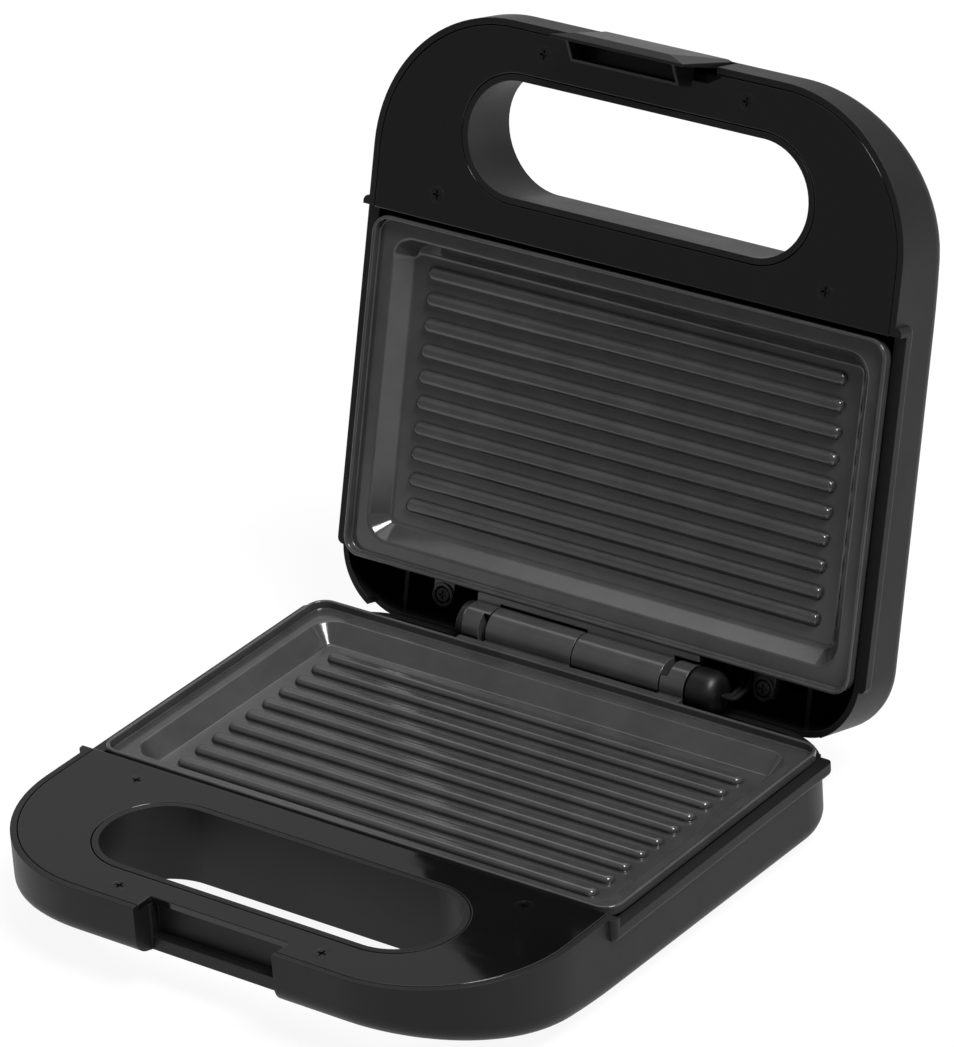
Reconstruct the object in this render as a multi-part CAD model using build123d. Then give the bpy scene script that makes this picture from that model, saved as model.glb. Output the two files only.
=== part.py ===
"""Panini press with its lid open: two hinged halves, each with a shell, a handle cover and a ribbed plate."""

import os
from math import atan, degrees

from build123d import *

# Pose of the lid in the photo, measured from closed
open_angle = 105.3

# Plates, measured from the hinge axis and from the plane where the closed halves meet
plate_width = 220.0
plate_length = 127.3
hinge_to_plate = 11.5
plate_corner = 7.0
lip_top = 0.3
lip_thickness = 1.4
lip_round = 0.5
lip_foot_round = 0.7
skirt_height = 3.6
border_depth = 3.5
flange_inset = 1.0
flange_height = 2.7
flange_gap = 0.5
tray_side_margin = 8.0
tray_end_margin = 7.3
tray_depth = 6.8
tray_run = 5.6
tray_corner = 8.5
tray_brink_round = 1.2
tray_floor_round = 1.8
casting = 3.0
tub_margin = 1.5
tub_taper = 20.0
rib_count = 10
rib_pitch = 9.62
rib_end_gap = 20.2
rib_rear_gap = 21.5
rib_width = 5.4
rib_height = 2.3
rib_round = 1.9
plate_rear = -hinge_to_plate
plate_front = plate_rear - plate_length
plate_middle = plate_rear - plate_length / 2
tray_floor = border_depth + tray_depth
tray_bottom = tray_floor + casting
skirt_bottom = lip_top + skirt_height

# Shells: plan, walls and arched underside
wall = 2.3
plate_side_gap = 0.2
plate_cover_gap = 2.0
step_gap = 0.4
handle_length = 77.8
front_corner = 55.0
lower_rear = 3.8
lower_rear_corner = 30.0
upper_rear = 9.6
upper_rear_corner = 26.0
rear_depth = 33.0
slope_rise = 2.3
arch_rise = 19.8
arch_overrun = 20.0
underside_round = 7.0
rim_gap = 0.2
plate_zone_drop = 4.0
lid_notch_half_width = 99.0
shell_half_width = plate_width / 2 + plate_side_gap + wall
cover_rear = plate_front - plate_cover_gap
handle_rear = cover_rear - step_gap
shell_front = handle_rear - handle_length
slope_start = 20.0
slope_end = plate_front
arch_end = shell_front - arch_overrun
deep = rear_depth + 12
reach = shell_half_width + 20

# Rail along the sides of the plates
rail_out = 2.5
rail_height = 5.2
rail_round = 2.2
rail_end_round = 2.4
rail_lead = 3.4
rail_rear_inset = 1.8
rail_root = 6.9
rail_bottom = plate_zone_drop + rail_height
rail_start = handle_rear - rail_lead
rail_end = plate_rear - rail_rear_inset

# Finger opening and cover
handle_bar = 41.8
opening_half_length = 75.0
opening_half_height = 23.5
opening_flare = 1.0
opening_rear_flare = 0.6
lid_opening_flare = 2.6
lid_opening_rear_flare = 4.2
sleeve_wall = 2.3
cover_gap = 0.35
cover_thickness = 2.5
cover_edge_round = 0.4
cross_wall_gap = 0.3
opening_middle = shell_front + handle_bar
cover_bottom = rim_gap + cover_thickness
cross_wall_front = handle_rear - cross_wall_gap - wall

# Cover screws
rear_screw_x = 83.0
rear_screw_inset = 9.9
front_screw_x = 43.0
front_screw_inset = 9.7
screw_head_radius = 2.9
screw_head_depth = 1.6
screw_radius = 1.45
screw_length = 11.0
screw_play = 0.05
screw_boss_radius = 3.6
hole_end_gap = 1.5
cross_length = 3.4
cross_width = 0.8
cross_depth = 1.0
rear_screw_y = cover_rear - rear_screw_inset
front_screw_y = shell_front + front_screw_inset
cover_screw_spots = [(-rear_screw_x, rear_screw_y), (rear_screw_x, rear_screw_y),
                     (-front_screw_x, front_screw_y), (front_screw_x, front_screw_y)]

# Plate fixings
lug_x = 70.0
lug_y = -3.2
lug_radius = 4.5
lug_ring_height = 0.7
lug_seat_depth = 1.8
lug_recess = 3.4
pillar_x = 60.0
pillar_inset = 9.8
pillar_radius = 4.5
pillar_height = 10.7
pillar_hole_depth = 9.5
pillar_seat_wall = 1.0
seat_play = 0.1
plate_screw_radius = 1.72
plate_screw_hole = 1.75
plate_screw_length = 11.0
plate_screw_head = 2.9
plate_screw_head_height = 1.8
plate_screw_round = 0.6
clearance_hole = 2.2
screw_well_radius = 4.0
screw_seat_thickness = 3.7
lug_top = tray_bottom - casting - lug_ring_height
lug_seat = lug_top + lug_seat_depth
pillar_y = plate_front + pillar_inset
pillar_bottom = tray_bottom + pillar_height
screw_well_top = pillar_bottom + seat_play + screw_seat_thickness

# Hinge
knuckle_radius = 8.1
barrel_gap = 0.7
knuckle_bore = 2.54
pin_radius = 2.5
knuckle_gap = 0.6
long_knuckle_inner = 0.25
long_knuckle_length = 37.35
short_knuckle_length = 10.0
leaf_top = 0.6
ledge_reach = 2.4
stop_slot_width = 2.7
stop_slot_start = 0.0
stop_slot_end = 140.0
stop_tab_start = 225.0
stop_tab_end = 250.0
stop_tab_inset = 0.3
stop_tab_play = 0.4
stop_tab_end_play = 0.2
pin_end_chamfer = 0.4
collar_radius = 7.6
collar_width = 2.8
collar_round = 0.6
collar_play = 0.4
pin_overhang = 0.6
pin_fit = 0.02
rear_notch_drop = knuckle_radius + barrel_gap
long_knuckle_outer = long_knuckle_inner + long_knuckle_length
short_knuckle_inner = long_knuckle_outer + knuckle_gap
short_knuckle_outer = short_knuckle_inner + short_knuckle_length
collar_start = short_knuckle_outer + collar_play
pin_reach = collar_start + collar_width + pin_overhang

# Lead sleeve beside the hinge
sleeve_length = 11.4
sleeve_dome_radius = 8.0
sleeve_dome_round = 4.6
sleeve_edge_round = 1.0
sleeve_tube_radius = 3.9
sleeve_tube_offset = -3.2
sleeve_tube_bottom = 24.0
sleeve_bore = 2.6
sleeve_bore_top = 7.0
sleeve_end = collar_start + sleeve_length
sleeve_tube_x = collar_start + sleeve_length / 2

# Heating element
element_radius = 3.25
element_play = 0.05
element_bed_width = 11.0
element_bed_height = 3.2
element_side_inset = 28.0
element_front_inset = 20.8
element_rear_inset = 20.5
element_gap = 18.0
element_bend = 12.0
element_pin_radius = 1.4
element_pin_length = 8.5
element_pin_hold = 4.0
element_level = tray_bottom + element_bed_height
element_side = plate_width / 2 - element_side_inset
element_front = plate_front + element_front_inset
element_rear = plate_rear - element_rear_inset
element_pin_end = element_gap - element_pin_length

# Heat shield on posts
shield_side_inset = 10.0
shield_front_inset = 15.3
shield_rear_inset = 9.0
shield_corner = 8.0
shield_gap = 1.45
shield_thickness = 0.8
shield_flange = 4.0
post_inset = 8.0
post_end_inset = 11.5
post_radius = 3.8
post_pin = 1.5
post_pin_play = 0.06
post_pin_height = 1.2
shield_half_width = plate_width / 2 - shield_side_inset
shield_front = plate_front + shield_front_inset
shield_rear = plate_rear - shield_rear_inset
shield_top = element_level + element_radius + shield_gap
shield_bottom = shield_top + shield_thickness
post_spots = [(side * (shield_half_width - post_inset), y) for side in (-1, 1)
              for y in (shield_front + post_end_inset, shield_rear - post_end_inset)]

# Ribs inside the rear of the shells
rear_rib_x = 88.0
guide_rib_x = 53.5
rear_rib_thickness = 1.8
rear_rib_top = 12.0
rear_rib_front = -8.0

# Electrical parts
thermostat_base = (24.0, 14.0, 1.6)
thermostat_body = (16.0, 12.0, 4.6)
thermostat_tab = (3.0, 5.0, 0.8)
thermostat_tab_x = 4.0
thermostat_tab_drop = 2.5
fuse_x = 36.0
fuse_shift = 3.0
fuse_radius = 2.2
fuse_length = 15.0
fuse_lead_radius = 0.6
fuse_lead_length = 6.0
contact_gap = 0.05
block_x = -22.0
block_y = -9.0
block_size = (27.0, 11.0, 9.0)
block_pad_margin = 1.5
block_pad_height = 1.3
block_pitch = 8.0
block_well_radius = 2.2
block_well_depth = 3.0
block_wire_hole = 1.5
block_wire_level = 3.2
block_pad_top = rear_depth - wall - block_pad_height

# Leads
lead_radius = 0.9
lead_bend = 1.5
lead_entry = 2.0
lead_drop = 2.4
lead_gap = 2.6
lead_end_gap = 0.1
lead_turn = 8.0

# Inlet bushing in the rear wall
inlet_x = 20.0
inlet_depth = 23.0
inlet_play = 0.05
inlet_radius = 5.0
inlet_bore = 3.4
inlet_mouth_radius = 4.2
inlet_mouth_depth = 5.1
inlet_flange_radius = 7.6
inlet_flange = 2.2
inlet_round = 0.8
inlet_inside = 5.0

# Feet
foot_side_inset = 27.5
foot_rear_inset = 21.8
foot_front_shift = 3.8
foot_pad_height = 0.6
foot_pad_radius = 8.2
foot_radius = 7.5
foot_height = 2.8
foot_round = 0.8
foot_stud = 2.5
foot_stud_play = 0.05
foot_stud_length = 3.6
foot_pad_depth = rear_depth + foot_pad_height
foot_x = shell_half_width - foot_side_inset
foot_spots = [(side * foot_x, y) for side in (-1, 1) for y in (lower_rear - foot_rear_inset,
                                                               plate_front + foot_front_shift)]

# Lamp lenses in the lid
lamp_x = 11.0
lamp_y = -80.0
lamp_radius = 4.0
lamp_play = 0.05
lamp_proud = 1.1
lamp_round = 0.9
lamp_flange_margin = 1.6
lamp_flange = 1.2

# Latch on the lid and its recess in the lower handle
latch_tilt = 7.0
latch_half_width = 27.9
latch_proud = 0.9
latch_thickness = 3.0
latch_edge = 1.0
latch_front_bevel = 3.3
latch_side_bevel = 8.0
latch_root_inset = 2.1
latch_tip = 20.0
latch_root = -11.5
latch_pivot_inset = 4.0
latch_pivot_z = -11.0
latch_barrel = 2.6
latch_barrel_play = 0.05
latch_barrel_inner = 12.0
latch_barrel_outer = 26.0
latch_pin_radius = 1.25
latch_pin_play = 0.03
latch_pin_hold = 1.6
latch_weld = 1.0
hook_half_width = 22.9
hook_wall = 1.1
hook_inset = 9.6
hook_top = 4.2
hook_bottom = 12.0
hook_root = 18.4
latch_side_gap = 1.5
latch_swing_gap = 1.2
recess_side_wall = 2.3
lid_recess_inset = 7.6
lid_recess_gap = 1.0
lower_recess_inset = 8.2
lower_recess_wall = 2.2
ledge_depth = 15.4
pocket_inset = 12.2
pocket_side_step = 0.6
lower_notch_inset = 9.5
latch_outer = shell_front - latch_proud
latch_inner = latch_outer + latch_thickness
latch_pivot_y = shell_front + latch_pivot_inset
recess_half_width = latch_half_width + latch_side_gap
latch_pin_half_length = recess_half_width + latch_pin_hold
hook_edge = shell_front + hook_inset
lid_recess_back = shell_front + lid_recess_inset
lid_recess_depth = latch_barrel - latch_pivot_z + lid_recess_gap
lower_recess_back = shell_front + lower_recess_inset
lower_notch_back = shell_front + lower_notch_inset
upper_notch_back = latch_inner + latch_swing_gap
pocket_back = shell_front + pocket_inset
pocket_half_width = recess_half_width - pocket_side_step


def span(x0, x1, y0, y1, z0, z1):
    """Box between two corners."""
    return Pos((x0 + x1) / 2, (y0 + y1) / 2, (z0 + z1) / 2) * Box(abs(x1 - x0), abs(y1 - y0), abs(z1 - z0))


def rod(x, y, z0, z1, radius):
    """Upright cylinder between two heights."""
    return Pos(x, y, (z0 + z1) / 2) * Cylinder(radius, abs(z1 - z0))


def rod_x(x0, x1, y, z, radius):
    """Cylinder along the width."""
    return Pos((x0 + x1) / 2, y, z) * Rot(0, 90, 0) * Cylinder(radius, abs(x1 - x0))


def rod_y(x, y0, y1, z, radius):
    """Cylinder along the depth."""
    return Pos(x, (y0 + y1) / 2, z) * Rot(90, 0, 0) * Cylinder(radius, abs(y1 - y0))


def shell_plan(rear, rear_radius, inset):
    """Plan of a shell with round front and rear corners, moved inward by an inset."""
    front = shell_front + inset
    back = rear - inset
    face = Pos(0, (front + back) / 2) * Rectangle(2 * (shell_half_width - inset), back - front)
    face = fillet(face.vertices().sort_by(Axis.Y)[:2], front_corner - inset)
    return fillet(face.vertices().sort_by(Axis.Y)[-2:], rear_radius - inset)


def underside_block(raised):
    """Everything above the arched underside of a shell."""
    start = (slope_start, raised - rear_depth)
    bend = (slope_end, raised - rear_depth + slope_rise)
    end = (arch_end, raised - rear_depth + slope_rise + arch_rise)
    with BuildSketch(Plane.YZ) as side:
        with BuildLine():
            Polyline((slope_start, deep), start, bend)
            TangentArc(bend, end, tangent=(slope_end - slope_start, slope_rise))
            Polyline(end, (arch_end, deep), (slope_start, deep))
        make_face()
    return extrude(side.sketch, amount=reach, both=True)


def underside_edges(body):
    """Edges between the underside and the walls."""
    low = [f for f in body.faces() if f.normal_at(f.center()).Z < -0.5]
    edges = [e for f in low for e in f.edges()]
    return [e for e in edges if sum(1 for other in edges if other.is_same(e)) == 1]


def shell_body(rear, rear_radius, inset, raised):
    """Solid shape of a shell above its arched underside."""
    body = extrude(shell_plan(rear, rear_radius, inset), amount=-deep)
    return body & underside_block(raised)


def depth_at(y):
    """Depth of the sloping flat part of the underside."""
    return rear_depth - slope_rise * (slope_start - y) / (slope_start - slope_end)


def stadium(grow):
    """Finger opening grown outward by an amount."""
    height = 2 * (opening_half_height + grow)
    length = 2 * (opening_half_length + grow)
    return Pos(0, opening_middle) * SlotOverall(length, height)


def opening_loft(grow, flare, rear_flare):
    """Finger opening that widens with depth."""
    height = 2 * (opening_half_height + grow) + flare + rear_flare
    length = 2 * (opening_half_length + grow + flare)
    far = Pos(0, opening_middle + (rear_flare - flare) / 2, -deep) * SlotOverall(length, height)
    return loft([stadium(grow), far])


def side_rails():
    """Rail on each side wall, with rounded ends and a rounded underside."""
    bar = span(shell_half_width - rail_root, shell_half_width + rail_out, rail_start, rail_end, -rail_bottom, 0)
    bar = fillet(bar.edges().filter_by(Axis.Z).sort_by(Axis.X)[-2:], rail_end_round)
    bar = fillet(bar.faces().sort_by(Axis.Z)[0].edges().sort_by(Axis.X)[-3:], rail_round)
    return bar + mirror(bar, about=Plane.YZ)


def rear_notch(rear, half_width):
    """Room over the low part of the rear wall, where the hinge runs."""
    return span(-half_width, half_width, plate_rear, rear + hinge_to_plate, -rear_notch_drop, deep)


def make_shell(rear, rear_radius, notch_half_width, flare, rear_flare, rib_spots):
    """Shell shared by both halves, rim up at height zero, and its filled outer shape."""
    outer = shell_body(rear, rear_radius, 0, 0)
    outer = fillet(underside_edges(outer), underside_round)
    shell = outer + side_rails() - shell_body(rear, rear_radius, wall, wall)
    inside = span(-reach, reach, cross_wall_front, cross_wall_front + wall, -deep, -cover_bottom)
    for x, y in cover_screw_spots:
        inside += rod(x, y, -deep, -cover_bottom, screw_boss_radius)
    for side in (-1, 1):
        inside += rod(side * lug_x, lug_y, -deep, -tray_bottom, lug_radius)
        seat = -pillar_bottom - seat_play
        inside += rod(side * pillar_x, pillar_y, -deep, seat, pillar_radius + pillar_seat_wall)
    for x, y in post_spots:
        inside += rod(x, y, -deep, -shield_bottom, post_radius)
        inside += rod(x, y, -deep, -shield_top + post_pin_height, post_pin)
    for x in rib_spots:
        inside += span(x - rear_rib_thickness / 2, x + rear_rib_thickness / 2, rear_rib_front, rear,
                       -deep, -rear_rib_top)
    inside += opening_loft(-cover_gap, flare, rear_flare) & span(-reach, reach, arch_end, 0, -deep, -rim_gap)
    shell += inside & outer
    shell -= opening_loft(-cover_gap - sleeve_wall, flare, rear_flare)
    shell -= span(-reach, reach, arch_end, handle_rear, -rim_gap, deep)
    shell -= span(-reach, reach, handle_rear, rear + hinge_to_plate, -plate_zone_drop, deep)
    shell -= rear_notch(rear, notch_half_width)
    for x, y in cover_screw_spots:
        shell -= rod(x, y, -rim_gap - screw_length - hole_end_gap, 0, screw_radius + screw_play)
    for side in (-1, 1):
        shell -= rod(side * lug_x, lug_y, -lug_seat - plate_screw_length - hole_end_gap, 0, plate_screw_hole)
        shell -= rod(side * pillar_x, pillar_y, -deep, -pillar_bottom, clearance_hole)
        shell -= rod(side * pillar_x, pillar_y, -deep, -screw_well_top, screw_well_radius)
    return shell, outer


def make_lower_housing():
    """Lower shell with the latch recess and its hook pocket, foot pads, terminal pad and inlet hole."""
    shell, outer = make_shell(lower_rear, lower_rear_corner, reach, opening_flare, opening_rear_flare,
                              (-rear_rib_x, rear_rib_x))
    side = recess_half_width + recess_side_wall
    back = lower_recess_back + lower_recess_wall
    shell += span(-side, side, shell_front, back, -deep, -cover_bottom) & outer
    shell += span(-side, side, shell_front, pocket_back + lower_recess_wall,
                  -ledge_depth - lower_recess_wall, -cover_bottom) & outer
    shell -= span(-recess_half_width, recess_half_width, arch_end, lower_recess_back, -deep, deep)
    shell -= span(-pocket_half_width, pocket_half_width, arch_end, pocket_back, -ledge_depth, -cover_bottom)
    for x, y in foot_spots:
        shell += rod(x, y, -foot_pad_depth, -depth_at(y) + wall + foot_pad_height, foot_pad_radius)
        shell -= rod(x, y, -deep, -foot_pad_depth + foot_stud_length + seat_play, foot_stud + foot_stud_play)
    width, length, height = block_size
    pad = span(block_x - width / 2 - block_pad_margin, block_x + width / 2 + block_pad_margin,
               block_y - length / 2 - block_pad_margin, block_y + length / 2 + block_pad_margin,
               -deep, -block_pad_top)
    shell += pad & outer
    return shell - rod_y(inlet_x, block_y, lower_rear + deep, -inlet_depth, inlet_radius + inlet_play)


def make_upper_housing():
    """Upper shell with the latch recess, pivot holes and lamp holes."""
    shell, outer = make_shell(upper_rear, upper_rear_corner, lid_notch_half_width, lid_opening_flare,
                              lid_opening_rear_flare, (-rear_rib_x, -guide_rib_x, rear_rib_x))
    side = recess_half_width + recess_side_wall
    back = lid_recess_back + wall
    shell += span(-side, side, shell_front, back, -lid_recess_depth - wall, -cover_bottom) & outer
    shell -= span(-recess_half_width, recess_half_width, arch_end, lid_recess_back, -lid_recess_depth, deep)
    shell -= rod_x(-latch_pin_half_length, latch_pin_half_length, latch_pivot_y, latch_pivot_z,
                   latch_pin_radius + latch_pin_play)
    for end in (-1, 1):
        shell -= rod(end * lamp_x, lamp_y, -deep, -tray_bottom, lamp_radius + lamp_play)
    return shell


def screw_cone(play):
    """Countersunk head shape with its flat top at height zero."""
    cone = Cone(screw_radius + play, screw_head_radius + play, screw_head_depth)
    return Pos(0, 0, -screw_head_depth / 2) * cone


def cross_cut():
    """Cross recess cut down from height zero."""
    bar = Box(cross_length, cross_width, cross_depth)
    return Pos(0, 0, -cross_depth / 2) * (bar + Rot(0, 0, 90) * bar)


def make_cover(notch_back):
    """Handle cover panel with its finger opening and a notch in the front edge."""
    face = shell_plan(lower_rear, lower_rear_corner, wall + cover_gap)
    face &= Pos(0, cover_rear - reach) * Rectangle(2 * reach, 2 * reach)
    face -= stadium(0)
    face -= Pos(0, notch_back - reach) * Rectangle(2 * recess_half_width, 2 * reach)
    panel = Pos(0, 0, -cover_bottom) * extrude(face, amount=cover_thickness)
    panel = fillet(panel.faces().sort_by(Axis.Z)[-1].edges(), cover_edge_round)
    for x, y in cover_screw_spots:
        panel -= Pos(x, y, -rim_gap) * screw_cone(screw_play)
        panel -= rod(x, y, -deep, 0, screw_radius + screw_play)
    return panel


def make_cover_screws():
    """Four countersunk screws of a cover."""
    screw = screw_cone(0) + rod(0, 0, -screw_length, -screw_head_depth / 2, screw_radius)
    screw -= cross_cut()
    return [Pos(x, y, -rim_gap) * screw for x, y in cover_screw_spots]


def element_path():
    """Centre line of the heating element, open at the rear."""
    return FilletPolyline((-element_gap, element_rear), (-element_side, element_rear),
                          (-element_side, element_front), (element_side, element_front),
                          (element_side, element_rear), (element_gap, element_rear), radius=element_bend)


def tube_along(path, radius):
    """Round bar swept along a path."""
    return sweep(Plane(origin=path @ 0, z_dir=path % 0) * Circle(radius), path=path)


def knuckle(x0, x1):
    """Hinge knuckle with the leaf that joins it to the plate."""
    leaf = span(x0, x1, plate_rear - lip_thickness / 2, 0, -skirt_bottom, -leaf_top)
    return rod_x(x0, x1, 0, 0, knuckle_radius) + leaf


def sector(x0, x1, start, end, inner, outer):
    """Part of a ring around the hinge axis between two angles, counted from the rear upward."""
    with BuildSketch(Plane.YZ) as ring:
        with BuildLine():
            far = CenterArc((0, 0), outer, start, end - start)
            near = CenterArc((0, 0), inner, start, end - start)
            Line(far @ 0, near @ 0)
            Line(far @ 1, near @ 1)
        make_face()
    return Pos(x0, 0, 0) * extrude(ring.sketch, amount=x1 - x0)


def plate_outline(inset, corner):
    """Rounded plan of the plate moved inward by an inset."""
    face = RectangleRounded(plate_width - 2 * inset, plate_length - 2 * inset, corner)
    return Pos(0, plate_middle) * face


def tray_outline(grow):
    """Rounded plan of the tray's brink moved outward by an amount."""
    width = plate_width - 2 * tray_side_margin + 2 * grow
    length = plate_length - 2 * tray_end_margin + 2 * grow
    return Pos(0, plate_middle) * RectangleRounded(width, length, tray_corner + grow)


def level_edges(body, depth):
    """Edges that lie at one depth below the meeting plane."""
    return [e for e in body.edges() if abs(e.center().Z + depth) < 0.01 and e.bounding_box().size.Z < 0.01]


def make_dish():
    """Plate casting without its fixings: lip, border, tray and tub."""
    flange_bottom = skirt_bottom + flange_height
    dish = Pos(0, 0, -skirt_bottom) * extrude(plate_outline(0, plate_corner), amount=skirt_height)
    under = plate_outline(flange_inset, plate_corner - flange_inset)
    under &= shell_plan(lower_rear, lower_rear_corner, wall + flange_gap)
    under &= shell_plan(upper_rear, upper_rear_corner, wall + flange_gap)
    dish += Pos(0, 0, -flange_bottom) * extrude(under, amount=flange_height)
    tub = Pos(0, 0, -border_depth) * extrude(tray_outline(tub_margin), amount=border_depth - tray_bottom,
                                             taper=tub_taper)
    dish += tub
    border = plate_outline(lip_thickness, plate_corner - lip_thickness)
    dish -= Pos(0, 0, -border_depth) * extrude(border, amount=border_depth)
    slope = degrees(atan(tray_run / tray_depth))
    dish -= Pos(0, 0, -border_depth) * extrude(tray_outline(0), amount=-tray_depth, taper=slope)
    dish = fillet(level_edges(dish, tray_floor), tray_floor_round)
    border_edges = level_edges(dish, border_depth)
    brink_reach = plate_width / 2 - tray_side_margin / 2
    brink_length = plate_length / 2 - tray_end_margin / 2
    brink = [e for e in border_edges if abs(e.center().X) < brink_reach
             and abs(e.center().Y - plate_middle) < brink_length]
    dish = fillet(brink, tray_brink_round)
    foot = [e for e in level_edges(dish, border_depth) if abs(e.center().X) > brink_reach
            or abs(e.center().Y - plate_middle) > brink_length]
    dish = fillet(foot, lip_foot_round)
    return fillet(level_edges(dish, lip_top), lip_round)


def make_ribs():
    """Round-topped ribs across the tray, rooted in its floor."""
    face = SlotOverall(2 * (plate_width / 2 - rib_end_gap), rib_width)
    rib = extrude(face, amount=rib_height)
    rib = fillet(rib.faces().sort_by(Axis.Z)[-1].edges(), rib_round)
    rib += extrude(face, amount=-casting / 2)
    first = plate_rear - rib_rear_gap
    return [Pos(0, first - number * rib_pitch, -tray_floor) * rib for number in range(rib_count)]


def make_plate():
    """Cast plate with lip, border, ribbed tray, element bed, lugs, pillars, rear ledge and hinge knuckles."""
    body = make_dish()
    for rib in make_ribs():
        body += rib
    bed = extrude(trace(element_path(), line_width=element_bed_width), amount=element_bed_height + casting / 2)
    body += Pos(0, 0, -element_level) * bed
    body -= Pos(0, 0, -element_level) * tube_along(element_path(), element_radius + element_play)
    for side in (-1, 1):
        x = side * lug_x
        body += span(x - lug_radius, x + lug_radius, plate_rear - tray_end_margin - tray_run, lug_y,
                     -tray_bottom, -tray_floor)
        body += rod(x, lug_y, -tray_bottom, -lug_top, lug_radius)
        body -= rod(x, lug_y, -lug_seat, -lug_top + lug_ring_height, lug_recess)
        body -= rod(x, lug_y, -deep, -lug_top, clearance_hole)
        body += rod(side * pillar_x, pillar_y, -pillar_bottom, -tray_bottom + casting / 2, pillar_radius)
        body -= rod(side * pillar_x, pillar_y, -deep, -pillar_bottom + pillar_hole_depth, plate_screw_hole)
    body += span(-short_knuckle_outer, short_knuckle_outer, plate_rear - lip_thickness / 2,
                 plate_rear + ledge_reach, -skirt_bottom, -leaf_top)
    body += knuckle(-long_knuckle_outer, -long_knuckle_inner)
    body += knuckle(short_knuckle_inner, short_knuckle_outer)
    tab_end = -short_knuckle_inner - stop_slot_width + stop_tab_end_play
    body += sector(tab_end, -long_knuckle_outer + knuckle_gap, stop_tab_start, stop_tab_end,
                   pin_radius + stop_tab_play, knuckle_radius - stop_tab_inset)
    body -= rod_x(-short_knuckle_outer, short_knuckle_outer, 0, 0, knuckle_bore)
    return body - sector(short_knuckle_inner - knuckle_gap, short_knuckle_inner + stop_slot_width,
                         stop_slot_start, stop_slot_end, pin_radius / 2, knuckle_radius + knuckle_gap)


def make_plate_screws():
    """Two screws in the rear lugs and two from underneath."""
    screw = rod(0, 0, 0, plate_screw_head_height, plate_screw_head)
    screw = fillet(screw.faces().sort_by(Axis.Z)[-1].edges(), plate_screw_round)
    screw += rod(0, 0, -plate_screw_length, plate_screw_round, plate_screw_radius)
    screw -= Pos(0, 0, plate_screw_head_height) * cross_cut()
    screws = []
    for side in (-1, 1):
        screws.append(Pos(side * lug_x, lug_y, -lug_seat) * screw)
        screws.append(Pos(side * pillar_x, pillar_y, -screw_well_top) * Rot(180, 0, 0) * screw)
    return screws


def make_element():
    """Tubular heating element with a thin pin at each end."""
    body = tube_along(element_path(), element_radius)
    for side in (-1, 1):
        body += rod_x(side * element_pin_end, side * (element_gap + element_pin_hold), element_rear, 0,
                      element_pin_radius)
    return Pos(0, 0, -element_level) * body


def make_shield():
    """Thin sheet under the element with a turned-down edge, set on the posts."""
    middle = (shield_front + shield_rear) / 2
    width = 2 * shield_half_width
    length = shield_rear - shield_front
    face = Pos(0, middle) * RectangleRounded(width, length, shield_corner)
    inner = Pos(0, middle) * RectangleRounded(width - 2 * shield_thickness, length - 2 * shield_thickness,
                                              shield_corner - shield_thickness)
    sheet = Pos(0, 0, -shield_bottom) * extrude(face, amount=shield_thickness)
    sheet += Pos(0, 0, -shield_bottom - shield_flange) * extrude(face - inner, amount=shield_flange)
    for x, y in post_spots:
        sheet -= rod(x, y, -deep, 0, post_pin + post_pin_play)
    return sheet


def make_thermostat():
    """Snap thermostat fixed flat under the plate, with two tabs."""
    width, length, height = thermostat_base
    unit = Pos(0, plate_middle, -tray_bottom - height / 2) * Box(width, length, height)
    top = -tray_bottom - height
    width, length, height = thermostat_body
    unit += Pos(0, plate_middle, top - height / 2) * Box(width, length, height)
    for side in (-1, 1):
        spot = Pos(side * thermostat_tab_x, plate_middle + length / 2, top - thermostat_tab_drop)
        unit += spot * Box(*thermostat_tab, align=(Align.CENTER, Align.MIN, Align.CENTER))
    return unit


def make_fuse():
    """Thermal fuse lying under the plate, with a wire at each end."""
    y = plate_middle + fuse_shift
    z = -tray_bottom - fuse_radius - contact_gap
    unit = rod_x(fuse_x - fuse_length / 2, fuse_x + fuse_length / 2, y, z, fuse_radius)
    half = fuse_length / 2 + fuse_lead_length
    return unit + rod_x(fuse_x - half, fuse_x + half, y, z, fuse_lead_radius)


def make_block():
    """Terminal block with three screw wells and three wire holes, on its pad in the lower shell."""
    width, length, height = block_size
    block = Pos(block_x, block_y, -block_pad_top + height / 2) * Box(width, length, height)
    top = -block_pad_top + height
    for number in (-1, 0, 1):
        x = block_x + number * block_pitch
        block -= rod(x, block_y, top - block_well_depth, top + height, block_well_radius)
        wire_z = -block_pad_top + block_wire_level
        block -= rod_y(x, block_y - length, block_y + length, wire_z, block_wire_hole)
    return block


def lead(*points):
    """Insulated lead along straight runs joined by arcs."""
    return tube_along(FilletPolyline(*points, radius=lead_bend), lead_radius)


def pin_lead_end(side):
    """Last points of a lead that runs up to one pin of the element."""
    turn = element_pin_end - 2 * lead_gap
    return [(side * turn, element_rear, -element_level), (side * (element_pin_end - lead_end_gap), element_rear,
                                                          -element_level)]


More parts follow.
